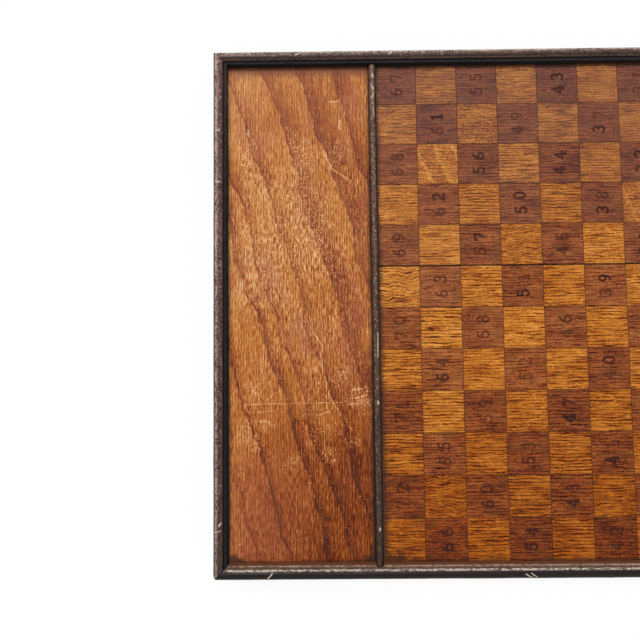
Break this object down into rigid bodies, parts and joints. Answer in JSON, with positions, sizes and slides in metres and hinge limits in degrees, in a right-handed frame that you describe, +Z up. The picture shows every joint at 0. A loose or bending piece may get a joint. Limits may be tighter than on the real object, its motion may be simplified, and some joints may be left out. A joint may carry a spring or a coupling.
{
  "type": "draughts board with trays",
  "caption": "Rectangular wooden draughts board with a mitred bead-moulded frame, an inlaid field of numbered oak squares and a tray for captured men at each end.",
  "frame": {"origin": "middle of the underside, on the plane of the cleats' lower faces", "axes": "+X along the long side towards the right tray, +Y across the board towards the rear rail, +Z up out of the playing surface"},
  "size_m": [0.7634, 0.4834, 0.0342],
  "materials": {
    "frame_stain": "dark brown stain, worn satin on the beads",
    "tray_wood": "old orange-brown shellac, satin, scratched",
    "light_oak": "golden oak, satin old varnish",
    "dark_oak": "dark stained oak, satin old varnish",
    "base_pine": "bare aged pine, matt",
    "cleat_pine": "bare aged pine, matt",
    "screw_steel": "old darkened steel",
    "brad_iron": "darkened iron wire"
  },
  "bodies": {
    "root": {"frame_rail_front": "frame_stain", "rail_brads_front": "brad_iron", "frame_rail_rear": "frame_stain", "rail_brads_rear": "brad_iron", "frame_rail_left": "frame_stain", "rail_brads_left": "brad_iron", "frame_rail_right": "frame_stain", "rail_brads_right": "brad_iron", "base_plank_front": "base_pine", "base_plank_rear": "base_pine", "divider_strip_left": "frame_stain", "divider_brads_left": "brad_iron", "tray_panel_left": "tray_wood", "cleat_left": "cleat_pine", "cleat_screws_left": "screw_steel", "divider_strip_right": "frame_stain", "divider_brads_right": "brad_iron", "tray_panel_right": "tray_wood", "cleat_right": "cleat_pine", "cleat_screws_right": "screw_steel", "dark_squares_column_01": "dark_oak", "light_squares_column_01": "light_oak", "dark_squares_column_02": "dark_oak", "light_squares_column_02": "light_oak", "dark_squares_column_03": "dark_oak", "light_squares_column_03": "light_oak", "dark_squares_column_04": "dark_oak", "light_squares_column_04": "light_oak", "dark_squares_column_05": "dark_oak", "light_squares_column_05": "light_oak", "dark_squares_column_06": "dark_oak", "light_squares_column_06": "light_oak", "dark_squares_column_07": "dark_oak", "light_squares_column_07": "light_oak", "dark_squares_column_08": "dark_oak", "light_squares_column_08": "light_oak", "dark_squares_column_09": "dark_oak", "light_squares_column_09": "light_oak", "dark_squares_column_10": "dark_oak", "light_squares_column_10": "light_oak", "dark_squares_column_11": "dark_oak", "light_squares_column_11": "light_oak", "dark_squares_column_12": "dark_oak", "light_squares_column_12": "light_oak"}
  },
  "joints": []
}
